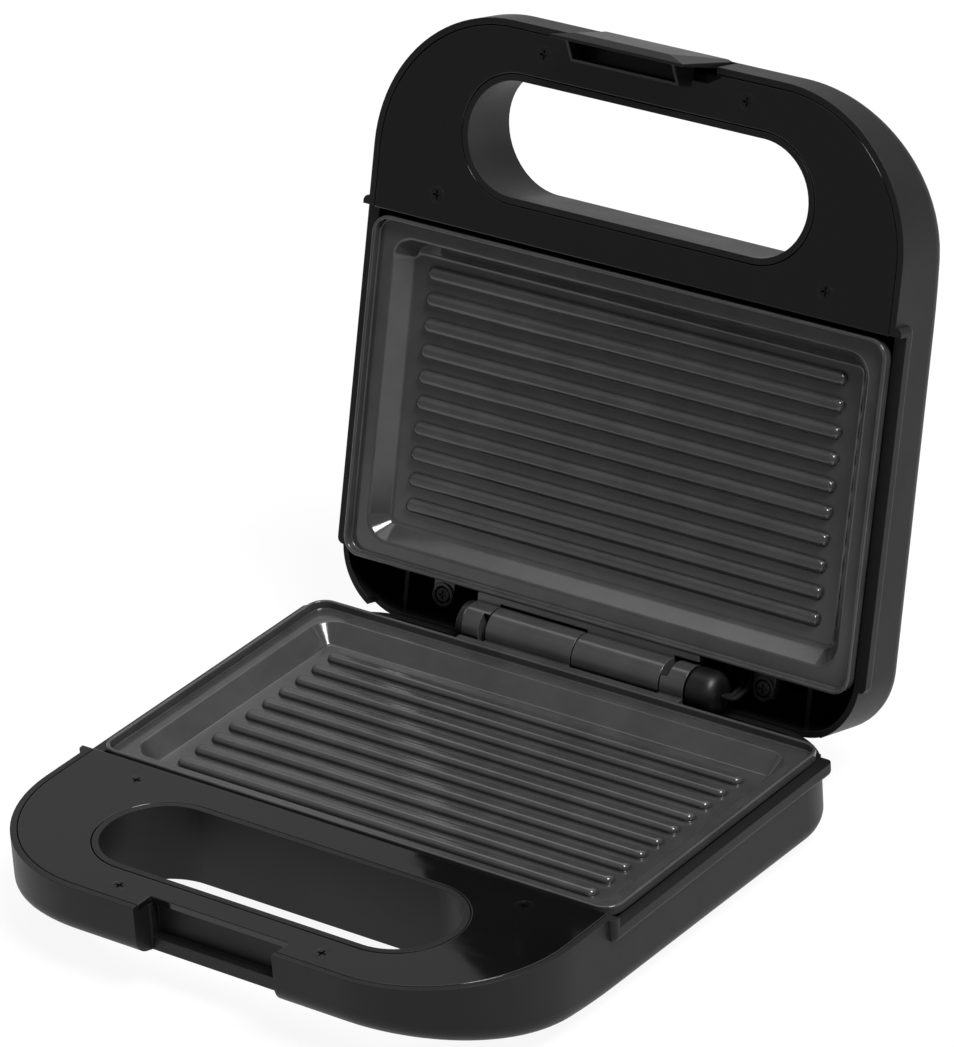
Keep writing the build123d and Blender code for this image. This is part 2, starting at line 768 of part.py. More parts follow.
def make_lower_leads():
    """Leads between the terminal block, the element, the thermostat, the fuse and the lead sleeve."""
    z = -block_pad_top + block_wire_level
    front = block_y - block_size[1] / 2
    riser = front - lead_gap
    over = -element_level - lead_drop
    tab_y = plate_middle + thermostat_body[1] / 2 + thermostat_tab[1] + lead_end_gap
    tab_z = -tray_bottom - thermostat_base[2] - thermostat_tab_drop
    fuse_y = plate_middle + fuse_shift
    fuse_z = -tray_bottom - fuse_radius - contact_gap
    fuse_half = fuse_length / 2 + fuse_lead_length + lead_end_gap
    turn = element_pin_end - 2 * lead_gap
    low = z - 2 * lead_radius - lead_end_gap
    return [
        lead((block_x, front + lead_entry, z), (block_x, riser, z), (block_x, riser, over),
             (-turn, element_rear + 3 * lead_gap, over), *pin_lead_end(-1)),
        lead((block_x + block_pitch, front + lead_entry, z), (block_x + block_pitch, riser, z),
             (block_x + block_pitch, riser, over), (0, element_rear + 4 * lead_gap, over),
             (0, tab_y + 4 * lead_gap, over), (-thermostat_tab_x, tab_y + 2 * lead_gap, tab_z),
             (-thermostat_tab_x, tab_y, tab_z)),
        lead((thermostat_tab_x, tab_y, tab_z), (thermostat_tab_x, tab_y + 2 * lead_gap, tab_z),
             (fuse_x - fuse_half - 2 * lead_gap, tab_y, fuse_z),
             (fuse_x - fuse_half - 2 * lead_gap, fuse_y, fuse_z), (fuse_x - fuse_half, fuse_y, fuse_z)),
        lead((fuse_x + fuse_half, fuse_y, fuse_z), (fuse_x + fuse_half + 2 * lead_gap, fuse_y, fuse_z),
             (fuse_x + fuse_half + 2 * lead_gap, element_rear - 6 * lead_gap, fuse_z),
             (turn, element_rear - 4 * lead_gap, -element_level), *pin_lead_end(1)),
        lead((block_x - block_pitch, front + lead_entry, z), (block_x - block_pitch, riser, z),
             (block_x - block_pitch / 2, riser, low), (sleeve_tube_x - 4 * lead_gap, riser, low),
             (sleeve_tube_x, riser + 2 * lead_gap, low),
             (sleeve_tube_x, sleeve_tube_offset, -sleeve_tube_bottom - lead_gap),
             (sleeve_tube_x, sleeve_tube_offset, -sleeve_tube_bottom + 2 * lead_gap)),
    ]


def make_upper_leads():
    """Two leads from the lead sleeve to the element pins of the lid."""
    leads = []
    for side, shift in ((-1, 0), (1, lead_gap)):
        out = -sleeve_end - 2 * lead_gap + shift
        over = -element_level - lead_drop
        turn = element_pin_end - 2 * lead_gap
        start = -side * (lead_radius + lead_end_gap)
        leads.append(lead((-sleeve_end - 2 * stop_tab_end_play, 0, start), (out, 0, start),
                          (out, -lead_gap, -lead_turn),
                          (out + 2 * lead_gap, plate_rear + shift / 2, over),
                          (side * turn, element_rear + 3 * lead_gap + shift, over), *pin_lead_end(side)))
    return leads


def make_feet():
    """Rubber feet with studs pressed into the pads."""
    feet = []
    for x, y in foot_spots:
        foot = rod(x, y, -foot_pad_depth - foot_height, -foot_pad_depth, foot_radius)
        foot = fillet(foot.faces().sort_by(Axis.Z)[0].edges(), foot_round)
        stud = rod(x, y, -foot_pad_depth - foot_round, foot_stud_length - foot_pad_depth, foot_stud)
        feet.append(foot + stud)
    return feet


def make_inlet():
    """Bushing through the rear wall where a supply lead enters, with a flared mouth."""
    seat = lower_rear
    face = seat + inlet_flange
    bush = rod_y(inlet_x, seat, face, -inlet_depth, inlet_flange_radius)
    bush = fillet(bush.faces().sort_by(Axis.Y)[-1].edges(), inlet_round)
    bush += rod_y(inlet_x, seat - wall - inlet_inside, seat + inlet_round, -inlet_depth, inlet_radius)
    mouth = Rot(-90, 0, 0) * Cone(inlet_bore, inlet_mouth_radius, inlet_mouth_depth)
    bush -= Pos(inlet_x, face - inlet_mouth_depth / 2, -inlet_depth) * mouth
    return bush - rod_y(inlet_x, seat - deep, face - inlet_mouth_depth / 2, -inlet_depth, inlet_bore)


def make_pin():
    """Hinge pin through all four knuckles."""
    pin = rod_x(-pin_reach, pin_reach, 0, 0, pin_radius)
    return chamfer(pin.edges().filter_by(GeomType.CIRCLE), pin_end_chamfer)


def make_collar():
    """Ring that keeps the pin in place at the left end."""
    ring = rod_x(-collar_start - collar_width, -collar_start, 0, 0, collar_radius)
    ring = fillet(ring.edges().filter_by(GeomType.CIRCLE), collar_round)
    return ring - rod_x(-pin_reach, 0, 0, 0, pin_radius + pin_fit)


def make_sleeve():
    """Soft dome over the right pin end with a tube for the leads into the lower shell."""
    dome = rod_x(collar_start, sleeve_end, 0, 0, sleeve_dome_radius)
    dome = fillet(dome.faces().sort_by(Axis.X)[-1].edges(), sleeve_dome_round)
    dome = fillet(dome.faces().sort_by(Axis.X)[0].edges(), sleeve_edge_round)
    dome += rod(sleeve_tube_x, sleeve_tube_offset, -sleeve_tube_bottom, 0, sleeve_tube_radius)
    dome -= rod(sleeve_tube_x, sleeve_tube_offset, -deep, -sleeve_bore_top, sleeve_bore)
    return dome - rod_x(0, pin_reach + collar_play, 0, 0, pin_radius + pin_fit)


def make_lenses():
    """Two lamp lenses pressed through the lid from inside."""
    lenses = []
    seat = -depth_at(lamp_y - lamp_radius - lamp_flange_margin) + wall + contact_gap
    for side in (-1, 1):
        lens = rod(side * lamp_x, lamp_y, -depth_at(lamp_y) - lamp_proud, seat, lamp_radius)
        lens = fillet(lens.faces().sort_by(Axis.Z)[0].edges(), lamp_round)
        lens += rod(side * lamp_x, lamp_y, seat, seat + lamp_flange, lamp_radius + lamp_flange_margin)
        lenses.append(lens)
    return lenses


def make_latch():
    """Bevelled latch plate with a hollow hook and two pivot barrels, tilted outward about its pivot."""
    edge = latch_inner - latch_edge
    with BuildSketch(Plane.YZ) as side:
        Polygon((latch_outer, latch_root), (latch_inner, latch_root), (latch_inner, latch_tip),
                (edge, latch_tip), (latch_outer, latch_tip - latch_front_bevel), align=None)
    latch = extrude(side.sketch, amount=latch_half_width, both=True)
    for end in (-1, 1):
        top = Vector(end * (latch_half_width - latch_side_bevel), latch_outer, latch_tip - latch_front_bevel)
        low = Vector(end * latch_half_width, edge, latch_tip)
        rear = Vector(end * (latch_half_width - latch_root_inset), latch_outer, latch_root)
        inward = (low - top).cross(rear - top) * end
        latch = split(latch, bisect_by=Plane(top, z_dir=inward), keep=Keep.TOP)
    with BuildSketch(Plane.YZ) as nose:
        Polygon((latch_inner - latch_weld, hook_top), (hook_edge, hook_top), (hook_edge, hook_bottom),
                (latch_inner - latch_weld, hook_root), align=None)
    latch += extrude(nose.sketch, amount=hook_half_width, both=True)
    scoop = hook_half_width - hook_wall
    latch -= span(-scoop, scoop, latch_inner, hook_edge - hook_wall, hook_top + hook_wall, latch_tip)
    for end in (-1, 1):
        x0 = end * latch_barrel_inner
        x1 = end * latch_barrel_outer
        latch += rod_x(x0, x1, latch_pivot_y, latch_pivot_z, latch_barrel)
        latch += span(x0, x1, latch_inner - latch_weld, latch_pivot_y, latch_pivot_z - latch_barrel,
                      latch_pivot_z + latch_barrel)
    latch -= rod_x(-recess_half_width, recess_half_width, latch_pivot_y, latch_pivot_z,
                   latch_pin_radius + latch_barrel_play)
    pivot = Pos(0, latch_pivot_y, latch_pivot_z)
    return pivot * Rot(latch_tilt, 0, 0) * pivot.inverse() * latch


def make_latch_pin():
    """Pivot pin of the latch."""
    return rod_x(-latch_pin_half_length, latch_pin_half_length, latch_pivot_y, latch_pivot_z, latch_pin_radius)


def gather(solids):
    """One node from several loose solids."""
    flat = []
    for item in solids:
        flat.extend(item.solids())
    return Compound(flat)


plate = make_plate()
element = make_element()
shield = make_shield()
cover_screws = gather(make_cover_screws())
plate_screws = gather(make_plate_screws())

lower_nodes = {
    "lower_housing": make_lower_housing(),
    "lower_cover": make_cover(lower_notch_back),
    "lower_cover_screws": cover_screws,
    "lower_plate": plate,
    "lower_plate_screws": plate_screws,
    "lower_element": element,
    "lower_shield": shield,
    "thermostat": make_thermostat(),
    "thermal_fuse": make_fuse(),
    "terminal_block": make_block(),
    "lower_leads": gather(make_lower_leads()),
    "feet": gather(make_feet()),
    "inlet_bushing": make_inlet(),
    "hinge_pin": make_pin(),
    "pin_collar": make_collar(),
    "lead_sleeve": make_sleeve(),
}

upper_nodes = {
    "upper_housing": make_upper_housing(),
    "upper_cover": make_cover(upper_notch_back),
    "upper_cover_screws": cover_screws,
    "upper_plate": plate,
    "upper_plate_screws": plate_screws,
    "upper_element": element,
    "upper_shield": shield,
    "upper_leads": gather(make_upper_leads()),
    "lamp_lenses": gather(make_lenses()),
    "latch": make_latch(),
    "latch_pin": make_latch_pin(),
}

# Lay both halves in the open pose, then stand the whole object on the floor with its bounding box centred
nodes = dict(lower_nodes)
for name, shape in upper_nodes.items():
    nodes[name] = Rot(-open_angle, 0, 0) * Rot(0, 180, 0) * shape
box = Compound([solid for shape in nodes.values() for solid in shape.solids()]).bounding_box()
to_frame = Pos(-(box.min.X + box.max.X) / 2, -(box.min.Y + box.max.Y) / 2, -box.min.Z)
print("hinge axis in the frame:", to_frame.position)
print("size:", box.size)

os.makedirs("parts", exist_ok=True)
for name, shape in nodes.items():
    export_step(to_frame * shape, f"parts/{name}.step")
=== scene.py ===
"""Looks of an open sandwich press: finishes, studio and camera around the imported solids."""

import logging
import math
from abc import ABC, abstractmethod
from dataclasses import dataclass, field
from enum import Enum
from typing import Any, Optional, Sequence

import bpy
import numpy as np
from mathutils import Matrix, Vector

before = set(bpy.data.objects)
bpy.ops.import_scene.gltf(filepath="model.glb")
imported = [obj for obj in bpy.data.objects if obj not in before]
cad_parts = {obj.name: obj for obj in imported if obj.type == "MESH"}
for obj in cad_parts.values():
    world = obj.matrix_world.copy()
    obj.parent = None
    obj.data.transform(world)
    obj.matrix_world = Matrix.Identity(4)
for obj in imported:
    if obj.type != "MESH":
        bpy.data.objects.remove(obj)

LOG = logging.getLogger("press")
Colour = tuple[float, float, float]
Triple = tuple[float, float, float]
Span = tuple[float, float]
MM = 0.001
MIDDLE = 0.5
HALVES = ("lower", "upper")


class Slot(Enum):
    """Material slots of the record."""

    SHELL = "shell"
    COVER = "cover"
    PLATE = "plate"
    SCREW_BLACK = "screw_black"
    SCREW = "screw"
    ELEMENT = "element"
    SHIELD = "shield"
    THERMOSTAT = "thermostat"
    FUSE = "fuse"
    BLOCK = "block"
    LEAD = "lead"
    FOOT = "foot"
    BUSHING = "bushing"
    PIN = "pin"
    COLLAR = "collar"
    SLEEVE = "sleeve"
    LENS = "lens"
    LATCH = "latch"


class Ray(Enum):
    """Kinds of ray that a stage material can tell apart."""

    CAMERA = "Is Camera Ray"
    GLOSSY = "Is Glossy Ray"
    TRANSMISSION = "Is Transmission Ray"


@dataclass(frozen=True)
class Cloud:
    """Sizes of a cloudy noise: cells in a metre, octaves, and the share that each octave keeps."""

    scale: float
    detail: float = 2.0
    rough: float = 0.5


class Sock:
    """A shader socket that joins in Python expressions."""

    def __init__(self, graph: "Graph", socket: Optional[bpy.types.NodeSocket]) -> None:
        """Keeps the graph and the output socket.

        Args:
            graph: The graph that the socket belongs to.
            socket: The output, or None for a node that has none.
        """
        self.graph = graph
        self.socket = socket

    def _math(self, operation: str, *values: Any) -> "Sock":
        """Adds one Math node.

        Args:
            operation: The Math node's operation.
            values: Its inputs in order, numbers or sockets.

        Returns:
            The node's result.
        """
        return self.graph.node("ShaderNodeMath", {"operation": operation}, dict(enumerate(values)))

    def __add__(self, other: Any) -> "Sock":
        """Sum."""
        return self._math("ADD", self, other)

    def __radd__(self, other: Any) -> "Sock":
        """Sum, with the number first."""
        return self._math("ADD", other, self)

    def __sub__(self, other: Any) -> "Sock":
        """Difference."""
        return self._math("SUBTRACT", self, other)

    def __rsub__(self, other: Any) -> "Sock":
        """Difference, with the number first."""
        return self._math("SUBTRACT", other, self)

    def __mul__(self, other: Any) -> "Sock":
        """Product."""
        return self._math("MULTIPLY", self, other)

    def __rmul__(self, other: Any) -> "Sock":
        """Product, with the number first."""
        return self._math("MULTIPLY", other, self)

    def __gt__(self, other: Any) -> "Sock":
        """One where this is the greater, else zero."""
        return self._math("GREATER_THAN", self, other)

    def largest(self, other: Any) -> "Sock":
        """The greater of two values.

        Args:
            other: A number or a socket.

        Returns:
            The greater value.
        """
        return self._math("MAXIMUM", self, other)

    def between(self, low: float, high: float) -> "Sock":
        """Zero below low, one above high and a smooth step between.

        Args:
            low: Where the step starts.
            high: Where the step ends.

        Returns:
            The step's value.
        """
        return self.graph.node(
            "ShaderNodeMapRange",
            {"interpolation_type": "SMOOTHSTEP", "clamp": True},
            {"Value": self, "From Min": low, "From Max": high},
        )


class Graph:
    """A node tree under construction."""

    still: Triple = (0.0, 0.0, 0.0)
    unit: Triple = (1.0, 1.0, 1.0)
    edge_samples: int = 6
    edge_span: Span = (0.01, 0.22)
    crease_samples: int = 6

    def __init__(self, tree: bpy.types.NodeTree) -> None:
        """Empties the tree and keeps it.

        Args:
            tree: The node tree of a material or a world.
        """
        tree.nodes.clear()
        self.tree = tree

    def node(self, kind: str, settings: dict[str, Any], sockets: dict[Any, Any], output: Any = 0) -> Sock:
        """Adds any node.

        Args:
            kind: The node's type.
            settings: Properties that are set first; "stops" holds a ramp's places and colours.
            sockets: Values or links by input name or number.
            output: Name or number of the output that is wanted.

        Returns:
            The chosen output.
        """
        made = self.tree.nodes.new(kind)
        for key, value in settings.items():
            if key == "stops":
                self._stops(made.color_ramp, value)
            else:
                setattr(made, key, value)
        for key, value in sockets.items():
            self.feed(made.inputs[key], value)
        return Sock(self, made.outputs[output] if len(made.outputs) else None)

    def feed(self, socket: bpy.types.NodeSocket, value: Any) -> None:
        """Links a socket into an input or sets the input's value.

        Args:
            socket: The input.
            value: A socket to link, or a constant.
        """
        if isinstance(value, Sock):
            self.tree.links.new(value.socket, socket)
        elif isinstance(value, tuple) and socket.type == "RGBA" and len(value) == 3:
            socket.default_value = (*value, 1.0)
        else:
            socket.default_value = value

    @staticmethod
    def _stops(ramp: bpy.types.ColorRamp, stops: Sequence[tuple[float, Colour]]) -> None:
        """Gives a ramp its stops.

        Args:
            ramp: The ramp of a Color Ramp node.
            stops: Places and colours in order.
        """
        while len(ramp.elements) < len(stops):
            ramp.elements.new(1.0)
        for element, (place, colour) in zip(ramp.elements, stops):
            element.position = place
            element.color = (*colour, 1.0)

    def place(self, stretch: Triple = unit, turn: Triple = still) -> Sock:
        """Object coordinates in metres, stretched and turned.

        Args:
            stretch: Scale along each axis.
            turn: Turn about each axis, in radians.

        Returns:
            The coordinates.
        """
        coordinates = self.node("ShaderNodeTexCoord", {}, {}, "Object")
        return self.node("ShaderNodeMapping", {}, {"Vector": coordinates, "Scale": stretch, "Rotation": turn})

    def axis(self, vector: Sock, name: str) -> Sock:
        """One component of a vector.

        Args:
            vector: The vector.
            name: X, Y or Z.

        Returns:
            The component.
        """
        return self.node("ShaderNodeSeparateXYZ", {}, {0: vector}, name)

    def noise(self, cloud: Cloud, where: Optional[Sock] = None) -> Sock:
        """Cloudy noise around one half.

        Args:
            cloud: The noise's sizes.
            where: Coordinates, the object's own by default.

        Returns:
            The noise value.
        """
        sizes = {"Scale": cloud.scale, "Detail": cloud.detail, "Roughness": cloud.rough}
        return self.node("ShaderNodeTexNoise", {}, {"Vector": where or self.place()} | sizes)

    def cells(self, scale: float) -> Sock:
        """Distance to the nearest point in a field of random cells.

        Args:
            scale: Cells in a metre.

        Returns:
            The distance, in cells.
        """
        return self.node("ShaderNodeTexVoronoi", {}, {"Vector": self.place(), "Scale": scale}, "Distance")

    def wave(self, scale: float, turn: Triple = still) -> Sock:
        """Straight waves along X, turned about the axes.

        Args:
            scale: The Wave node's scale.
            turn: Turn about each axis, in radians.

        Returns:
            The wave's value.
        """
        sockets = {"Vector": self.place(self.unit, turn), "Scale": scale}
        return self.node("ShaderNodeTexWave", {"bands_direction": "X"}, sockets, "Fac")

    def openness(self, reach: float) -> Sock:
        """One on open surfaces, and less in creases.

        Args:
            reach: How far a crease darkens, in metres.

        Returns:
            The share of the surroundings that is open.
        """
        settings = {"samples": self.crease_samples}
        return self.node("ShaderNodeAmbientOcclusion", settings, {"Distance": reach}, "AO")

    def mix(self, factor: Any, first: Any, second: Any) -> Sock:
        """Mixes two colours; the numbers are the places of the Mix node's colour sockets.

        Args:
            factor: Share of the second colour.
            first: A colour or a socket.
            second: A colour or a socket.

        Returns:
            The mixed colour.
        """
        return self.node("ShaderNodeMix", {"data_type": "RGBA"}, {0: factor, 6: first, 7: second}, 2)

    def blend(self, factor: Sock, first: Sock, second: Sock) -> Sock:
        """Mixes two shaders.

        Args:
            factor: Share of the second shader.
            first: A shader.
            second: A shader.

        Returns:
            The mixed shader.
        """
        return self.node("ShaderNodeMixShader", {}, {0: factor, 1: first, 2: second})

    def soft_edge(self, radius: float) -> tuple[Sock, Sock]:
        """Normals rounded over a small radius, and where they turn.

        Args:
            radius: The edge radius in metres.

        Returns:
            The rounded normal and a mask that is one on sharp edges.
        """
        rounded = self.node("ShaderNodeBevel", {"samples": self.edge_samples}, {"Radius": radius})
        plain = self.node("ShaderNodeNewGeometry", {}, {}, "Normal")
        product = {"operation": "DOT_PRODUCT"}
        along = self.node("ShaderNodeVectorMath", product, {0: rounded, 1: plain}, "Value")
        return rounded, (1.0 - along).between(*self.edge_span)

    def bump(self, height: Sock, depth: float, normal: Optional[Sock] = None, strength: float = 1.0) -> Sock:
        """Normal of a raised surface.

        Args:
            height: The relief, from zero to one.
            depth: Its depth in metres.
            normal: The normal below it, the surface's own by default.
            strength: Share of the relief that shows.

        Returns:
            The new normal.
        """
        sockets: dict[str, Any] = {"Height": height, "Distance": depth, "Strength": strength}
        if normal is not None:
            sockets["Normal"] = normal
        return self.node("ShaderNodeBump", {}, sockets)

    def surface(self, **sockets: Any) -> Sock:
        """A Principled surface.

        Args:
            sockets: Values or links by input name, with underscores for spaces.

        Returns:
            The shader.
        """
        named = {key.replace("_", " ").title().replace("Ior", "IOR"): value for key, value in sockets.items()}
        return self.node("ShaderNodeBsdfPrincipled", {}, named)

    def seen_by(self, *rays: Ray) -> Sock:
        """One for the kinds of ray that are named, else zero.

        Args:
            rays: Kinds of ray.

        Returns:
            The mask.
        """
        flags = [self.node("ShaderNodeLightPath", {}, {}, ray.value) for ray in rays]
        total = flags[0]
        for flag in flags[1:]:
            total = total.largest(flag)
        return total

    def show(self, shader: Sock, kind: str = "ShaderNodeOutputMaterial") -> None:
        """Links a shader to the output.

        Args:
            shader: What is shown.
            kind: The output node's type.
        """
        self.node(kind, {}, {"Surface": shader})


@dataclass(frozen=True)
class Finish(ABC):
    """A finish that makes its material once."""

    name: str
    slot: Slot

    @abstractmethod
    def paint(self, graph: Graph) -> Sock:
        """Builds the finish.

        Args:
            graph: The empty graph of the finish's material.

        Returns:
            The shader.
        """

    def material(self) -> bpy.types.Material:
        """The finish's material, made at first use.

        Returns:
            The material.
        """
        found = bpy.data.materials.get(self.name)
        if found is not None:
            return found
        made = bpy.data.materials.new(self.name)
        made.use_nodes = True
        graph = Graph(made.node_tree)
        graph.show(self.paint(graph))
        return made


@dataclass(frozen=True)
class MouldedPlastic(Finish):
    """Black moulded plastic with a fine eroded grain and handled patches."""

    dark: Colour = (0.0055, 0.0055, 0.0056)
    pale: Colour = (0.0074, 0.0074, 0.0076)
    # Pale colour painted on edges as a highlight.
    edge: Colour = (0.022, 0.022, 0.023)
    rough: float = 0.44
    shine: float = 0.22
    grain: Cloud = Cloud(1500.0, 2.0, 0.6)
    grain_dull: float = 0.14
    grain_depth: float = 0.020 * MM
    grain_relief: float = 0.6
    drift: Cloud = Cloud(14.0, 3.0)
    drift_span: Span = (0.3, 0.7)
    touch: Cloud = Cloud(38.0, 4.0, 0.65)
    touch_span: Span = (0.42, 0.68)
    touch_polish: float = 0.04
    edge_radius: float = 0.35 * MM
    edge_highlight_share: float = 0.7
    edge_polish: float = 0.10

    def paint(self, graph: Graph) -> Sock:
        """Colour drifts by cloudy noise; edges get a painted highlight in colour and are smoother; grain
        raises the surface.

        Args:
            graph: The empty graph of the finish's material.

        Returns:
            The shader.
        """
        rounded, edge = graph.soft_edge(self.edge_radius)
        drift = graph.noise(self.drift)
        grain = graph.noise(self.grain)
        touch = graph.noise(self.touch).between(*self.touch_span)
        body = graph.mix(drift.between(*self.drift_span), self.dark, self.pale)
        # Painted highlight: edges are mixed toward the pale edge colour.
        colour = graph.mix(edge * self.edge_highlight_share, body, self.edge)
        rough = self.rough + self.grain_dull * (grain - MIDDLE)
        rough = rough + self.touch_polish * (1.0 - touch) - self.edge_polish * edge
        normal = graph.bump(grain, self.grain_depth, rounded, self.grain_relief)
        return graph.surface(base_color=colour, roughness=rough, normal=normal, specular_ior_level=self.shine)


@dataclass(frozen=True)
class PolishedPanel(Finish):
    """Mirror-smooth black plastic with wiping marks and a trace of dust."""

    body: Colour = (0.0035, 0.0035, 0.0037)
    dust: Colour = (0.020, 0.020, 0.021)
    rough: float = 0.055
    shine: float = 0.42
    wipe: Cloud = Cloud(120.0, 4.0)
    wipe_stretch: Triple = (0.25, 1.0, 1.0)
    wipe_turn: Triple = (0.0, 0.0, 0.5)
    wipe_span: Span = (0.45, 0.75)
    wipe_dull: float = 0.05
    speck_scale: float = 420.0
    speck_span: Span = (0.02, 0.10)
    speck_share: float = 0.5
    speck_dull: float = 0.10
    patch: Cloud = Cloud(30.0)
    patch_span: Span = (0.48, 0.72)
    ripple: Cloud = Cloud(210.0, 1.0)
    ripple_depth: float = 0.004 * MM
    ripple_relief: float = 0.5
    edge_radius: float = 0.16 * MM
    edge_highlight_share: float = 0.15

    def paint(self, graph: Graph) -> Sock:
        """Stretched noise gives wiping marks in the gloss; sparse cells leave specks of dust; edges get a
        painted highlight in the dust colour.

        Args:
            graph: The empty graph of the finish's material.

        Returns:
            The shader.
        """
        rounded, edge = graph.soft_edge(self.edge_radius)
        wiped = graph.place(self.wipe_stretch, self.wipe_turn)
        wipe = graph.noise(self.wipe, wiped).between(*self.wipe_span)
        specks = 1.0 - graph.cells(self.speck_scale).between(*self.speck_span)
        patch = graph.noise(self.patch).between(*self.patch_span)
        ripple = graph.noise(self.ripple)
        # Real dust specks, plus a painted highlight on the edges, lift toward the dust colour.
        dust_and_highlight = specks * patch * self.speck_share + self.edge_highlight_share * edge
        colour = graph.mix(dust_and_highlight, self.body, self.dust)
        rough = self.rough + self.wipe_dull * wipe + self.speck_dull * specks * patch
        normal = graph.bump(ripple, self.ripple_depth, rounded, self.ripple_relief)
        return graph.surface(base_color=colour, roughness=rough, normal=normal, specular_ior_level=self.shine)


@dataclass(frozen=True)
class NonStickCoat(Finish):
    """Dark grey sprayed coat on cast metal, with mica flecks."""

    body: Colour = (0.037, 0.037, 0.0378)
    pale: Colour = (0.050, 0.050, 0.0508)
    fleck: Colour = (0.13, 0.13, 0.132)
    # Pale colour painted on edges as a highlight.
    edge: Colour = (0.15, 0.15, 0.153)
    # Painted shade colour for the creases.
    crease_shade: Colour = (0.007, 0.007, 0.0072)
    rough: float = 0.15
    shine: float = 0.60
    mottle: Cloud = Cloud(60.0, 4.0, 0.6)
    mottle_span: Span = (0.3, 0.7)
    mottle_dull: float = 0.04
    spray: Cloud = Cloud(1700.0, 2.0, 0.6)
    spray_dull: float = 0.08
    spray_depth: float = 0.010 * MM
    spray_relief: float = 0.5
    flecks: Cloud = Cloud(3600.0, 1.0)
    fleck_span: Span = (0.70, 0.80)
    fleck_share: float = 0.5
    edge_radius: float = 0.40 * MM
    edge_highlight_share: float = 0.65
    edge_dull: float = 0.02
    crease_reach: float = 1.8 * MM
    crease_span: Span = (0.52, 0.88)

    def paint(self, graph: Graph) -> Sock:
        """Sprayed mottling in colour and gloss, fine flecks, a painted highlight on edges and painted shade
        in creases.

        Args:
            graph: The empty graph of the finish's material.

        Returns:
            The shader.
        """
        rounded, edge = graph.soft_edge(self.edge_radius)
        mottle = graph.noise(self.mottle)
        spray = graph.noise(self.spray)
        flecks = graph.noise(self.flecks).between(*self.fleck_span)
        body = graph.mix(mottle.between(*self.mottle_span), self.body, self.pale)
        flecked = graph.mix(flecks * self.fleck_share, body, self.fleck)
        # Painted highlight: edges are mixed toward the pale edge colour.
        edge_lit = graph.mix(edge * self.edge_highlight_share, flecked, self.edge)
        # Painted shade: creases, found by occlusion, are darkened toward the crease shade colour.
        clear = graph.openness(self.crease_reach).between(*self.crease_span)
        colour = graph.mix(clear, self.crease_shade, edge_lit)
        rough = self.rough + self.spray_dull * (spray - MIDDLE)
        rough = rough + self.mottle_dull * (mottle - MIDDLE) + self.edge_dull * edge
        normal = graph.bump(spray, self.spray_depth, rounded, self.spray_relief)
        return graph.surface(base_color=colour, roughness=rough, normal=normal, specular_ior_level=self.shine)


@dataclass(frozen=True)
class Metal(Finish):
    """Bare or plated metal with drawn lines, tarnish and paler edges."""

    body: Colour = (0.42, 0.42, 0.43)
    tarnish: Colour = (0.22, 0.21, 0.20)
    rough: float = 0.34
    stretch: Triple = (1.0, 1.0, 1.0)
    drawn: Cloud = Cloud(900.0)
    drawn_dull: float = 0.14
    drawn_depth: float = 0.006 * MM
    drawn_relief: float = 0.6
    cloud: Cloud = Cloud(130.0, 4.0, 0.6)
    cloud_span: Span = (0.45, 0.75)
    cloud_share: float = 0.6
    cloud_dull: float = 0.10
    edge_radius: float = 0.12 * MM
    edge_polish: float = 0.06

    def paint(self, graph: Graph) -> Sock:
        """Lines come from noise stretched along one axis, tarnish from cloudy noise.

        Args:
            graph: The empty graph of the finish's material.

        Returns:
            The shader.
        """
        rounded, edge = graph.soft_edge(self.edge_radius)
        drawn = graph.noise(self.drawn, graph.place(self.stretch))
        cloud = graph.noise(self.cloud).between(*self.cloud_span)
        colour = graph.mix(cloud * self.cloud_share, self.body, self.tarnish)
        rough = self.rough + self.drawn_dull * (drawn - MIDDLE)
        rough = rough + self.cloud_dull * cloud - self.edge_polish * edge
        normal = graph.bump(drawn, self.drawn_depth, rounded, self.drawn_relief)
        return graph.surface(base_color=colour, roughness=rough, metallic=1.0, normal=normal)


@dataclass(frozen=True)
class HeatedTube(Finish):
    """Steel sheath of a heating element with straw and blue heat tints."""

    steel: Colour = (0.30, 0.29, 0.28)
    straw: Colour = (0.30, 0.21, 0.11)
    blue: Colour = (0.12, 0.13, 0.19)
    rough: float = 0.36
    heat: Cloud = Cloud(45.0, 3.0)
    heat_places: tuple[float, ...] = (0.30, 0.50, 0.62, 0.78)
    flakes: Cloud = Cloud(1400.0)
    flake_dull: float = 0.2
    flake_depth: float = 0.010 * MM

    def paint(self, graph: Graph) -> Sock:
        """A ramp of tints over slow noise, with fine flakes on top.

        Args:
            graph: The empty graph of the finish's material.

        Returns:
            The shader.
        """
        heat = graph.noise(self.heat)
        flakes = graph.noise(self.flakes)
        stops = list(zip(self.heat_places, (self.steel, self.straw, self.blue, self.steel)))
        tint = graph.node("ShaderNodeValToRGB", {"stops": stops}, {"Fac": heat})
        normal = graph.bump(flakes, self.flake_depth)
        rough = self.rough + self.flake_dull * (flakes - MIDDLE)
        return graph.surface(base_color=tint, roughness=rough, metallic=1.0, normal=normal)


